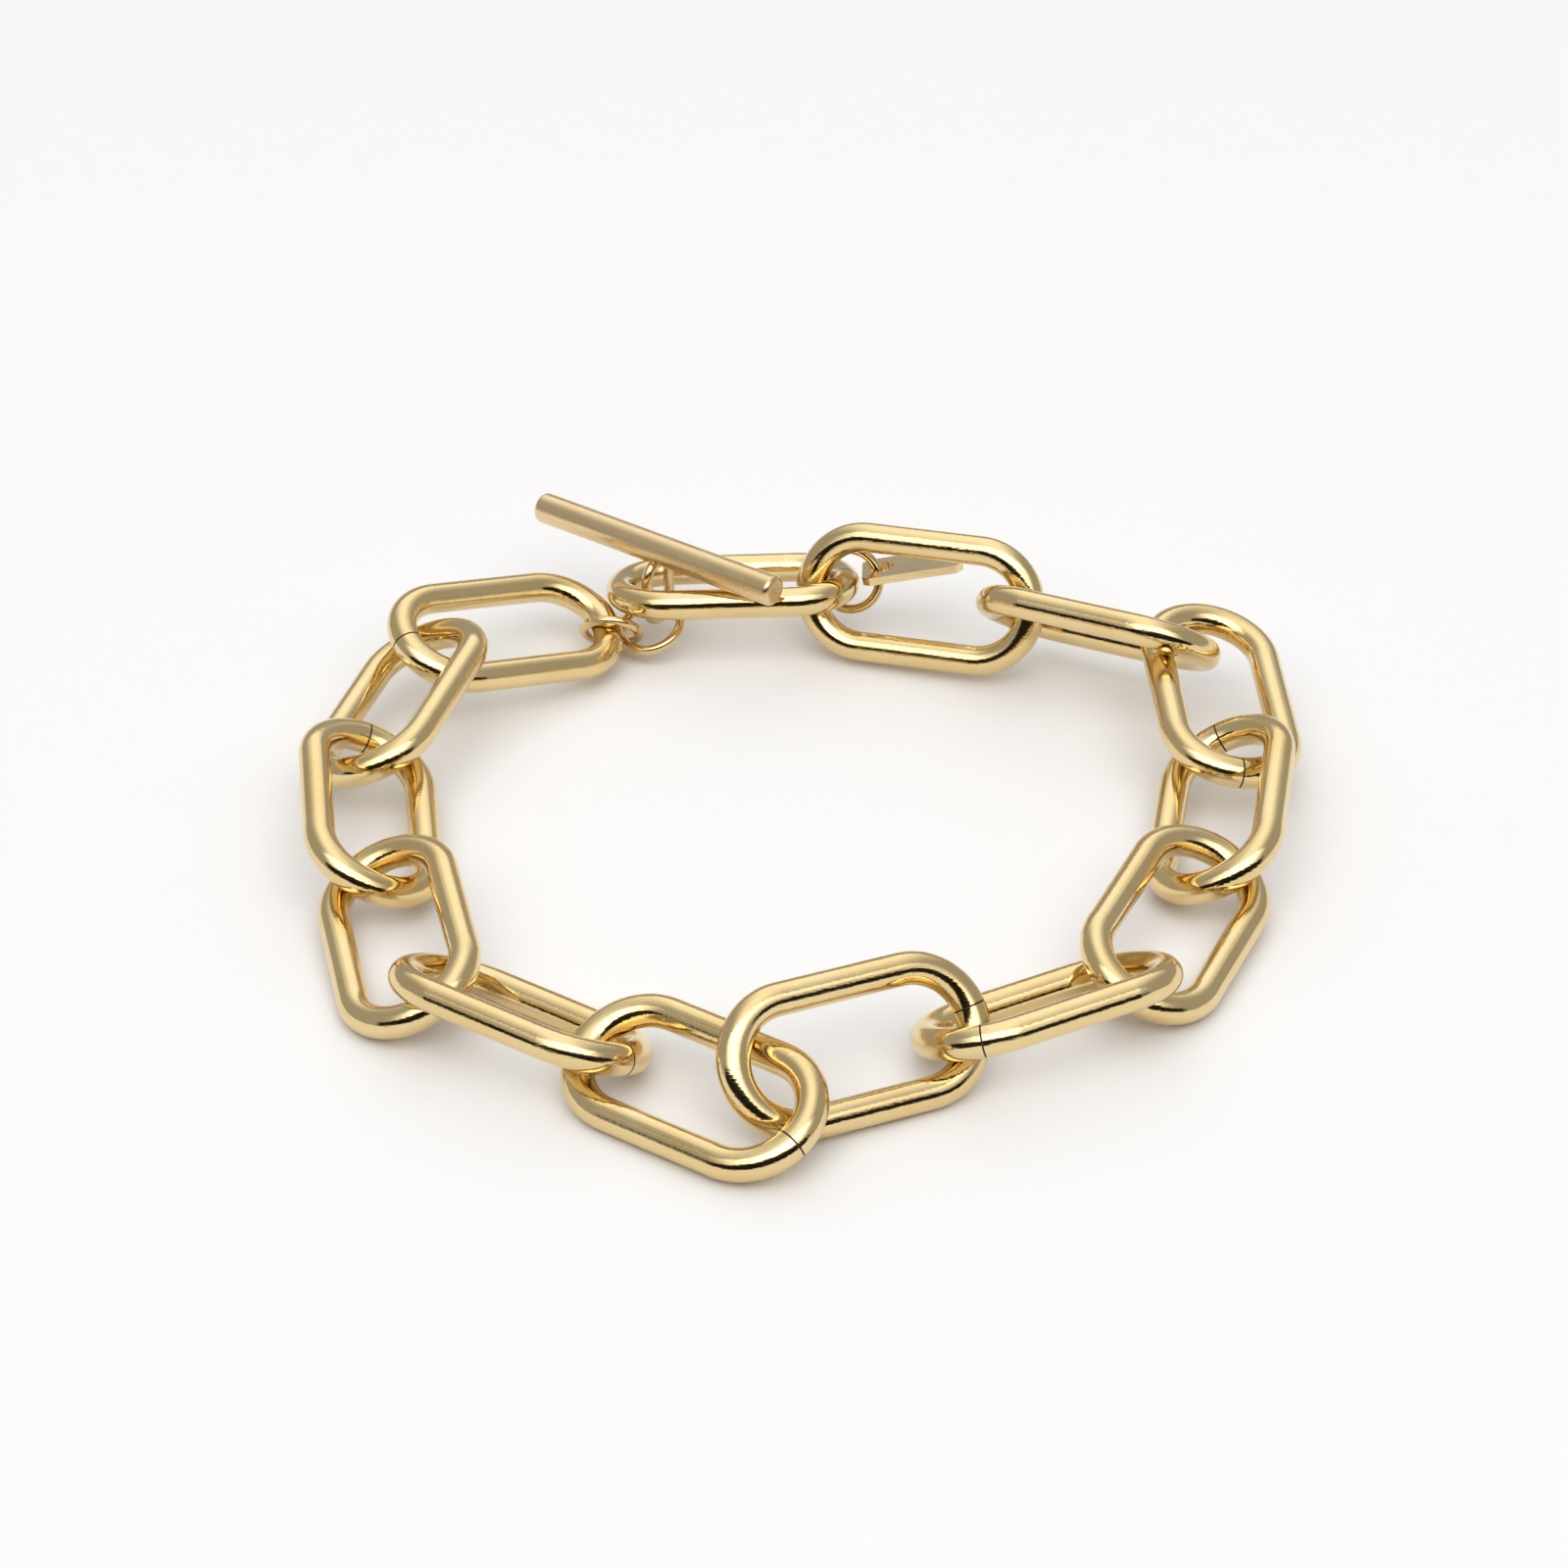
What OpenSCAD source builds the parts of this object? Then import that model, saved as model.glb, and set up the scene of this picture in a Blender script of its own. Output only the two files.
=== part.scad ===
// Chain bracelet of long round-wire links, closed by a toggle bar, laid on a flat surface.
// +X runs along the front and back of the loop, +Y points to the clasp, +Z is up.

/* [Links] */
// wire diameter of the chain links
wire_d = 2.2; // [2:0.1:2.3]
// outer length of a link
link_l = 18.9; // [18.8:0.1:19.2]
// outer width of a link
link_w = 10.3; // [10.2:0.1:10.5]
// width of the butt seam in a link's wire
seam = 0.12; // [0.05:0.01:0.15]

/* [Toggle] */
// length of the toggle bar
bar_l = 22; // [20:0.5:23]
// diameter of the toggle bar
bar_d = 2.3; // [2:0.1:2.5]
// rounding of the bar's ends
bar_round = 0.4; // [0.2:0.1:0.8]
// outer length of the eye soldered under the bar
eye_l = 5.6; // [5.5:0.1:5.8]
// outer width of the eye
eye_w = 3.4; // [3.3:0.1:3.6]
// wire diameter of the eye
eye_wire = 0.8; // [0.6:0.1:0.9]
// depth of the solder between eye and bar
solder = 0.45; // [0.3:0.05:0.6]

/* [Rings and tag] */
// wire diameter of the jump rings
ring_wire = 0.7; // [0.5:0.05:0.75]
// outer diameter of the jump ring on the first link
ring_1_d = 4.8; // [4.7:0.1:4.9]
// outer diameter of the jump ring on the bar's eye
ring_2_d = 5.2; // [5.1:0.1:5.3]
// outer diameter of the tag's jump ring
tag_ring_d = 5.2; // [5:0.1:5.4]
// length of the tag
tag_l = 7.5; // [6:0.5:8]
// width of the tag
tag_w = 4; // [3.5:0.1:4.5]
// thickness of the tag
tag_t = 0.6; // [0.4:0.1:0.7]
// length of the cut at the tag's corners
tag_cut = 0.5; // [0.2:0.1:1]
// diameter of the tag's hole
tag_hole = 1.8; // [1.6:0.1:2]

/* [Hidden] */
gold = [0.86, 0.68, 0.36];

// The route of the chain, a row for each link from the toggle's side round to the catch link.
// Columns: x and y of the middle as shares of the link's length, heading, lean and rise in
// degrees, lift above the surface as a share of the wire, end of the seam and its angle there.
route = [
    [-1.14, 1.22, 33, 19, -12, 0.45, -1, 0],
    [-1.52, 0.70, -109, 22, -6, 0.70, 1, -30],
    [-1.57, 0.00, -83, -28, -5, 0.30, -1, 0],
    [-1.42, -0.70, -77, 24, -4, 0.00, 1, 22],
    [-0.97, -1.17, -32, -27, -2, 0.00, 1, -10],
    [-0.37, -1.56, -35, 24, 1, 0.00, 1, -15],
    [0.17, -1.44, 25, 49, -2, 0.00, 1, 10],
    [0.83, -1.14, 26, -26, 2, 0.15, -1, 60],
    [1.31, -0.63, -115, -24, -3, 0.05, -1, -28],
    [1.52, 0.03, -100, 29, -6, 0.20, -1, 12],
    [1.57, 0.69, -85, -11, -9, 1.20, 1, 0],
    [1.13, 1.08, -30, -40, 4, 1.10, -1, 0],
    [0.46, 1.39, -17, 67, 2, 0.20, 1, 0],
    [-0.27, 1.56, -2, -12, 3, 1.10, 1, 0]];

// Places on the clasp: offsets in mm and turns in degrees.
// Columns: x, y, z from the named point, tilt and turn of the ring's axis.
ring_1_at = [0.6, -0.65, -0.55, 55, 85];
ring_2_at = [-0.45, -1.9, -5.55, -25, 50];
tag_ring_at = [0.35, 0.6, -0.05, 110, 75];
// Columns: x, y, z from the catch link's end, heading, lean and rise.
tag_at = [2.75, 0.45, 0.75, 0, -10, 10];
// middle of the bar as shares of the link's length, heading and rise, clearance over the link
bar_at = [-0.566, 1.561, -37, 1];
bar_clear = 0.1;

wire_r = wire_d / 2;
bend_r = (link_w - wire_d) / 2;
rail_l = link_l - link_w;
catch = len(route) - 1;

// height of a link's middle when its lowest point is lifted by the row's share of the wire
function rest_z(row) = wire_r + rail_l / 2 * abs(sin(row[4]))
    + bend_r * norm([sin(row[4]), sin(row[3]) * cos(row[4])]) + row[5] * wire_d;

function link_at(row) = [row[0] * link_l, row[1] * link_l, rest_z(row)];

// middle of the wire at a link's end, side 1 or -1
function link_tip(row, side) = link_at(row) + side * (rail_l / 2 + bend_r)
    * [cos(row[2]) * cos(row[4]), sin(row[2]) * cos(row[4]), sin(row[4])];

bar_mid = [bar_at[0] * link_l, bar_at[1] * link_l,
    rest_z(route[catch]) + bend_r * abs(sin(route[catch][3])) + (wire_d + bar_d) / 2 + bar_clear];

module wire_bow(radius, wire) {
    rotate([0, 0, -90]) rotate_extrude(angle = 180, $fn = 96)
        translate([radius, 0]) circle(d = wire, $fn = 48);
}

module wire_ring(outer, wire) {
    rotate_extrude($fn = 96) translate([(outer - wire) / 2, 0]) circle(d = wire, $fn = 48);
}

// closed loop of round wire with two straight rails, lying flat
module long_loop(outer_l, outer_w, wire) {
    rail = outer_l - outer_w;
    bend = (outer_w - wire) / 2;
    for (end = [0, 180]) rotate([0, 0, end]) {
        translate([rail / 2, 0, 0]) wire_bow(bend, wire);
        translate([rail / 2, bend, 0]) rotate([0, -90, 0]) cylinder(d = wire, h = rail, $fn = 48);
    }
}

module chain_link(number) {
    row = route[number - 1];
    color(gold) translate(link_at(row)) rotate([0, 0, row[2]]) rotate([0, -row[4], 0])
        rotate([row[3], 0, 0]) difference() {
            long_loop(link_l, link_w, wire_d);
            translate([row[6] * rail_l / 2, 0, 0]) rotate([0, 0, row[7] + (row[6] > 0 ? 0 : 180)])
                translate([bend_r, 0, 0]) cube([wire_d * 1.5, seam, wire_d * 1.5], center = true);
        }
}

module jump_ring(point, at, outer) {
    color(gold) translate(point + [at[0], at[1], at[2]]) rotate([0, at[3], at[4]])
        wire_ring(outer, ring_wire);
}

// turned rod with rounded ends and a long eye below its middle
module bar() {
    half = bar_l / 2;
    edge = bar_d / 2 - bar_round;
    arc = [for (a = [0:15:90]) [edge + bar_round * cos(a), half - bar_round * (1 - sin(a))]];
    side = concat([[0, -half]], [for (i = [len(arc) - 1:-1:0]) [arc[i][0], -arc[i][1]]],
        arc, [[0, half]]);
    color(gold) translate(bar_mid) rotate([0, 0, bar_at[2]]) rotate([0, -bar_at[3], 0]) {
        rotate([0, 90, 0]) rotate_extrude($fn = 96) polygon(side);
        translate([0, 0, solder - (bar_d + eye_l) / 2]) rotate([0, 90, 0])
            long_loop(eye_l, eye_w, eye_wire);
    }
}

// bare plate with cut corners, its hole's middle at the origin
module plate() {
    hole_x = tag_hole / 2 + (tag_w - tag_hole) / 4;
    w = tag_w / 2;
    color(gold) translate(link_tip(route[catch], 1) + [tag_at[0], tag_at[1], tag_at[2]])
        rotate([0, 0, tag_at[3]]) rotate([0, -tag_at[5], 0]) rotate([tag_at[4], 0, 0])
        translate([-hole_x, 0, -tag_t / 2]) difference() {
            linear_extrude(tag_t) polygon([[0, tag_cut - w], [tag_cut, -w], [tag_l - tag_cut, -w],
                [tag_l, tag_cut - w], [tag_l, w - tag_cut], [tag_l - tag_cut, w], [tag_cut, w],
                [0, w - tag_cut]]);
            translate([hole_x, 0, -1]) cylinder(d = tag_hole, h = tag_t + 2, $fn = 48);
        }
}

module link_01() { chain_link(1); }
module link_02() { chain_link(2); }
module link_03() { chain_link(3); }
module link_04() { chain_link(4); }
module link_05() { chain_link(5); }
module link_06() { chain_link(6); }
module link_07() { chain_link(7); }
module link_08() { chain_link(8); }
module link_09() { chain_link(9); }
module link_10() { chain_link(10); }
module link_11() { chain_link(11); }
module link_12() { chain_link(12); }
module link_13() { chain_link(13); }
module link_14() { chain_link(14); }
module toggle_bar() { bar(); }
module ring_1() { jump_ring(link_tip(route[0], 1), ring_1_at, ring_1_d); }
module ring_2() { jump_ring(bar_mid, ring_2_at, ring_2_d); }
module tag_ring() { jump_ring(link_tip(route[catch], 1), tag_ring_at, tag_ring_d); }
module tag_plate() { plate(); }

link_01();
link_02();
link_03();
link_04();
link_05();
link_06();
link_07();
link_08();
link_09();
link_10();
link_11();
link_12();
link_13();
link_14();
toggle_bar();
ring_1();
ring_2();
tag_ring();
tag_plate();
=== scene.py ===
"""Looks of the link bracelet: polished gold on a white surface under soft light."""
import math

import bmesh
import bpy
from mathutils import Matrix, Vector


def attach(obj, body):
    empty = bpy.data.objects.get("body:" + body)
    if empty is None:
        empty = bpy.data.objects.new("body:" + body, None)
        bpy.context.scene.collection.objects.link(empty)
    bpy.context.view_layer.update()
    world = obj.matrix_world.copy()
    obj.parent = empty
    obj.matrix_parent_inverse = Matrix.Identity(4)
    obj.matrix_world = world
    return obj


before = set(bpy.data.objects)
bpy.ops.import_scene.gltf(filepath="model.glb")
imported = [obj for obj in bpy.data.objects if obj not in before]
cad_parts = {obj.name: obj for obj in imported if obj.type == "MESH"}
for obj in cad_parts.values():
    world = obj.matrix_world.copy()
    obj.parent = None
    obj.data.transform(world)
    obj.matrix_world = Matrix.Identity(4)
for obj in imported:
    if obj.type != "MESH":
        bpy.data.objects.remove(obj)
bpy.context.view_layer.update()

LINKS = ["link_%02d" % number for number in range(1, 15)]
RINGS = ["ring_1", "ring_2", "tag_ring"]

# Sizes of the links in mm, as the part has them.
LINK_L, LINK_W, WIRE_D = 18.9, 10.3, 2.2
MM = 0.001

# The links' places, as the part has them. Columns: x and y of the middle as shares of the link's length,
# heading, lean and rise in degrees, lift as a share of the wire, end of the seam and its angle there.
ROUTE = [
    (-1.14, 1.22, 33, 19, -12, 0.45, -1, 0), (-1.52, 0.70, -109, 22, -6, 0.70, 1, -30),
    (-1.57, 0.00, -83, -28, -5, 0.30, -1, 0), (-1.42, -0.70, -77, 24, -4, 0.00, 1, 22),
    (-0.97, -1.17, -32, -27, -2, 0.00, 1, -10), (-0.37, -1.56, -35, 24, 1, 0.00, 1, -15),
    (0.17, -1.44, 25, 49, -2, 0.00, 1, 10), (0.83, -1.14, 26, -26, 2, 0.15, -1, 60),
    (1.31, -0.63, -115, -24, -3, 0.05, -1, -28), (1.52, 0.03, -100, 29, -6, 0.20, -1, 12),
    (1.57, 0.69, -85, -11, -9, 1.20, 1, 0), (1.13, 1.08, -30, -40, 4, 1.10, -1, 0),
    (0.46, 1.39, -17, 67, 2, 0.20, 1, 0), (-0.27, 1.56, -2, -12, 3, 1.10, 1, 0)]

# The dark disc in a seam, a painted shadow of the joint's gap, in mm: how far it stays inside the wire's
# surface, and its thickness.
SEAM_INSET = 0.05
SEAM_CORE = 0.1

# How fine the gold's marks are, in noise cells per metre, and how deep a scratch is in metres.
TINT_SCALE = 160.0
SPECK_SCALE = 1500.0
HAZE_SCALE = 420.0
SCRATCH_SCALE = 900.0
SCRATCH_DEPTH = 0.00002
DUST_COLOUR = (0.9, 0.86, 0.78)

# The studio, in metres, and the light around it. The panels stand on one sphere.
FLOOR_HALF = 3
PANEL_FAR = 1.5
DARK_FAR = 1.6
AROUND = 0.42

# The camera, found by fitting the links to the photograph.
CAMERA_AT = (-0.0013, -0.246589, 0.167744)
CAMERA_TILT = 56.791
CAMERA_LENS = 99.0
CAMERA_SENSOR = 36


def new_material(name):
    """A new material, its node tree and its shader."""
    material = bpy.data.materials.new(name)
    material.use_nodes = True
    tree = material.node_tree
    return material, tree, tree.nodes["Principled BSDF"]


def object_place(tree):
    """The socket that gives a point's place in the object's own frame."""
    return tree.nodes.new("ShaderNodeTexCoord").outputs["Object"]


def noise(tree, where, scale, detail, roughness):
    """The value of a noise over places."""
    node = tree.nodes.new("ShaderNodeTexNoise")
    node.inputs["Scale"].default_value = scale
    node.inputs["Detail"].default_value = detail
    node.inputs["Roughness"].default_value = roughness
    tree.links.new(where, node.inputs["Vector"])
    return node.outputs["Fac"]


def ramp(tree, source, stops):
    """A colour ramp over a value, from (place, colour) stops."""
    node = tree.nodes.new("ShaderNodeValToRGB")
    while len(node.color_ramp.elements) < len(stops):
        node.color_ramp.elements.new(0.5)
    for element, (place, colour) in zip(node.color_ramp.elements, stops):
        element.position = place
        element.color = (*colour, 1)
    tree.links.new(source, node.inputs[0])
    return node.outputs[0]


def grey(value):
    """The grey that carries one number through a colour ramp."""
    return (value, value, value)


def gold(name, colour, warm, rough, scratch, dust):
    """Polished gold with faint scratches, dust and slight changes of tint and gloss."""
    material, tree, shader = new_material(name)
    shader.inputs["Metallic"].default_value = 1.0
    where = object_place(tree)

    tint = noise(tree, where, TINT_SCALE, 3.0, 0.6)
    body = ramp(tree, tint, [(0.35, colour), (0.7, warm)])

    specks = noise(tree, where, SPECK_SCALE, 2.0, 0.5)
    speck = ramp(tree, specks, [(0.0, grey(0)), (0.73, grey(0)), (0.79, grey(dust))])
    mix = tree.nodes.new("ShaderNodeMix")
    mix.data_type = "RGBA"
    mix.inputs["B"].default_value = (*DUST_COLOUR, 1)
    tree.links.new(speck, mix.inputs["Factor"])
    tree.links.new(body, mix.inputs["A"])
    tree.links.new(mix.outputs["Result"], shader.inputs["Base Color"])

    haze = noise(tree, where, HAZE_SCALE, 4.0, 0.65)
    gloss = ramp(tree, haze, [(0.3, grey(rough * 0.75)), (0.75, grey(rough * 1.5))])
    tree.links.new(gloss, shader.inputs["Roughness"])

    stretch = tree.nodes.new("ShaderNodeMapping")
    stretch.inputs["Rotation"].default_value = (0.4, 0.7, 0.9)
    stretch.inputs["Scale"].default_value = (1.0, 9.0, 9.0)
    tree.links.new(where, stretch.inputs["Vector"])
    lines = noise(tree, stretch.outputs["Vector"], SCRATCH_SCALE, 2.0, 0.5)
    bump = tree.nodes.new("ShaderNodeBump")
    bump.inputs["Strength"].default_value = scratch
    bump.inputs["Distance"].default_value = SCRATCH_DEPTH
    tree.links.new(lines, bump.inputs["Height"])
    tree.links.new(bump.outputs["Normal"], shader.inputs["Normal"])
    return material


def seam_shadow_paint():
    """Dark brown material of the seam discs, painted shadow of the joints' gaps, with a little mottling."""
    material, tree, shader = new_material("seam_dark")
    shader.inputs["Metallic"].default_value = 0.6
    shader.inputs["Roughness"].default_value = 0.55
    spots = noise(tree, object_place(tree), 2500.0, 2.0, 0.5)
    brown = ramp(tree, spots, [(0.3, (0.03, 0.018, 0.008)), (0.7, (0.08, 0.05, 0.022))])
    tree.links.new(brown, shader.inputs["Base Color"])
    return material


def plain(name, colour, rough):
    """Plain matt material of the studio."""
    material, tree, shader = new_material(name)
    shader.inputs["Base Color"].default_value = (*colour, 1)
    shader.inputs["Roughness"].default_value = rough
    shader.inputs["Specular IOR Level"].default_value = 0.0
    return material


def lamp_skin(name, colour, glow, full, none):
    """Glowing material of a light panel that fades sideways to the studio's own light. It is bright up to
    the angle full and gone at the angle none, in degrees from the middle."""
    material, tree, shader = new_material(name)
    shader.inputs["Base Color"].default_value = (0, 0, 0, 1)
    shader.inputs["Specular IOR Level"].default_value = 0.0
    shader.inputs["Emission Color"].default_value = (*colour, 1)
    parts = tree.nodes.new("ShaderNodeSeparateXYZ")
    tree.links.new(object_place(tree), parts.inputs[0])
    side = tree.nodes.new("ShaderNodeMath")
    side.operation = "ABSOLUTE"
    tree.links.new(parts.outputs["X"], side.inputs[0])
    fade = tree.nodes.new("ShaderNodeMapRange")
    fade.interpolation_type = "SMOOTHSTEP"
    fade.inputs["From Min"].default_value = PANEL_FAR * math.sin(math.radians(full))
    fade.inputs["From Max"].default_value = PANEL_FAR * math.sin(math.radians(none))
    fade.inputs["To Min"].default_value = glow
    fade.inputs["To Max"].default_value = AROUND
    tree.links.new(side.outputs[0], fade.inputs["Value"])
    tree.links.new(fade.outputs["Result"], shader.inputs["Emission Strength"])
    return material


def paint(nodes, material):
    """Puts a material into every slot of the named CAD nodes."""
    for node in nodes:
        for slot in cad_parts[node].material_slots:
            slot.material = material


def place_mesh(name, mesh, material):
    """An object of that mesh and material in the scene."""
    mesh.materials.append(material)
    piece = bpy.data.objects.new(name, mesh)
    bpy.context.scene.collection.objects.link(piece)
    return piece


def seam_place(row):
    """Middle of a link's seam in mm and the way its wire runs there, in the part's frame."""
    x, y, heading, lean, rise, lift, end, angle = row
    heading, lean, rise = (math.radians(value) for value in (heading, lean, rise))
    bend = (LINK_W - WIRE_D) / 2
    rail = LINK_L - LINK_W
    height = (WIRE_D / 2 + rail / 2 * abs(math.sin(rise)) + lift * WIRE_D
              + bend * math.hypot(math.sin(rise), math.sin(lean) * math.cos(rise)))
    pose = (Matrix.Translation((x * LINK_L, y * LINK_L, height)) @ Matrix.Rotation(heading, 4, "Z")
            @ Matrix.Rotation(-rise, 4, "Y") @ Matrix.Rotation(lean, 4, "X"))
    turn = math.radians(angle + (0 if end > 0 else 180))
    spot = Vector((end * rail / 2 + bend * math.cos(turn), bend * math.sin(turn), 0))
    run = Vector((-math.sin(turn), math.cos(turn), 0))
    return pose @ spot, pose.to_3x3() @ run


def seam_core(name, row, material):
    """Dark disc between the two cut faces of a link's wire, a little inside its surface, as painted shadow
    in the seam's gap.
    """
    middle, run = seam_place(row)
    radius = WIRE_D / 2 - SEAM_INSET
    mesh = bpy.data.meshes.new(name)
    shape = bmesh.new()
    bmesh.ops.create_cone(shape, cap_ends=True, segments=40, radius1=radius, radius2=radius, depth=SEAM_CORE)
    turned = run.to_track_quat("Z", "Y").to_matrix().to_4x4()
    shape.transform(Matrix.Scale(MM, 4) @ Matrix.Translation(middle) @ turned)
    shape.to_mesh(mesh)
    shape.free()
    piece = place_mesh(name, mesh, material)
    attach(piece, "root")


def floor(material):
    """The white surface that the bracelet lies on."""
    half = FLOOR_HALF
    mesh = bpy.data.meshes.new("floor")
    mesh.from_pydata([(-half, -half, 0), (half, -half, 0), (half, half, 0), (-half, half, 0)], [],
                     [(0, 1, 2, 3)])
    place_mesh("floor", mesh, material)


def curved_card(name, turns, tilts, far, material):
    """A curved card of the studio over the object. Turns run from the front (0) over the top (90) to the
    back (180), and tilts run to the left (negative) and right, all in degrees."""
    steps = 16
    points, faces = [], []
    for i in range(steps + 1):
        turn = math.radians(turns[0] + (turns[1] - turns[0]) * i / steps)
        for j in range(steps + 1):
            tilt = math.radians(tilts[0] + (tilts[1] - tilts[0]) * j / steps)
            points.append((far * math.sin(tilt), -far * math.cos(turn) * math.cos(tilt),
                           far * math.sin(turn) * math.cos(tilt)))
    for i in range(steps):
        for j in range(steps):
            k = i * (steps + 1) + j
            faces.append((k, k + 1, k + steps + 2, k + steps + 1))
    mesh = bpy.data.meshes.new(name)
    mesh.from_pydata(points, [], faces)
    piece = place_mesh(name, mesh, material)
    piece.visible_camera = False
    piece.visible_shadow = False


def studio():
    """The floor, the light panels, the dark card low on the camera's side and the light all round."""
    floor(plain("floor_white", (0.94, 0.935, 0.935), 0.9))
    front = lamp_skin("front_glow", (1.0, 0.995, 0.99), 2.8, 14, 55)
    back = lamp_skin("back_glow", (1.0, 0.995, 0.985), 1.3, 5, 45)
    dark = plain("card_dark", (0.02, 0.018, 0.015), 0.9)
    curved_card("panel_front", (37, 75), (-56, 56), PANEL_FAR, front)
    curved_card("panel_back", (75, 152), (-46, 46), PANEL_FAR, back)
    curved_card("dark_front", (0.5, 36), (-62, 62), DARK_FAR, dark)

    world = bpy.data.worlds.new("studio")
    world.use_nodes = True
    background = world.node_tree.nodes["Background"]
    background.inputs["Color"].default_value = (1.0, 0.99, 0.98, 1)
    background.inputs["Strength"].default_value = AROUND
    bpy.context.scene.world = world
    bpy.context.scene.view_settings.view_transform = "Standard"


def photo_camera():
    """The camera at the photograph's place and angle."""
    data = bpy.data.cameras.new("camera")
    data.sensor_width = CAMERA_SENSOR
    data.lens = CAMERA_LENS
    data.clip_start = 0.01
    camera = bpy.data.objects.new("camera", data)
    camera.location = CAMERA_AT
    camera.rotation_euler = (math.radians(CAMERA_TILT), 0, 0)
    bpy.context.scene.collection.objects.link(camera)
    bpy.context.scene.camera = camera


paint(LINKS, gold("link_gold", (0.81, 0.64, 0.34), (0.78, 0.58, 0.27), 0.10, 0.35, 0.5))
paint(["toggle_bar"], gold("bar_gold", (0.80, 0.62, 0.36), (0.77, 0.57, 0.30), 0.22, 0.5, 0.4))
paint(RINGS, gold("ring_gold", (0.80, 0.61, 0.33), (0.76, 0.54, 0.25), 0.14, 0.25, 0.3))
paint(["tag_plate"], gold("tag_gold", (0.84, 0.66, 0.38), (0.81, 0.61, 0.32), 0.18, 0.35, 0.3))

# Dark discs in the seams, painted shadow of the joints' gaps.
seam_shadow = seam_shadow_paint()
for number, row in enumerate(ROUTE, 1):
    seam_core("seam_%02d" % number, row, seam_shadow)

studio()
photo_camera()
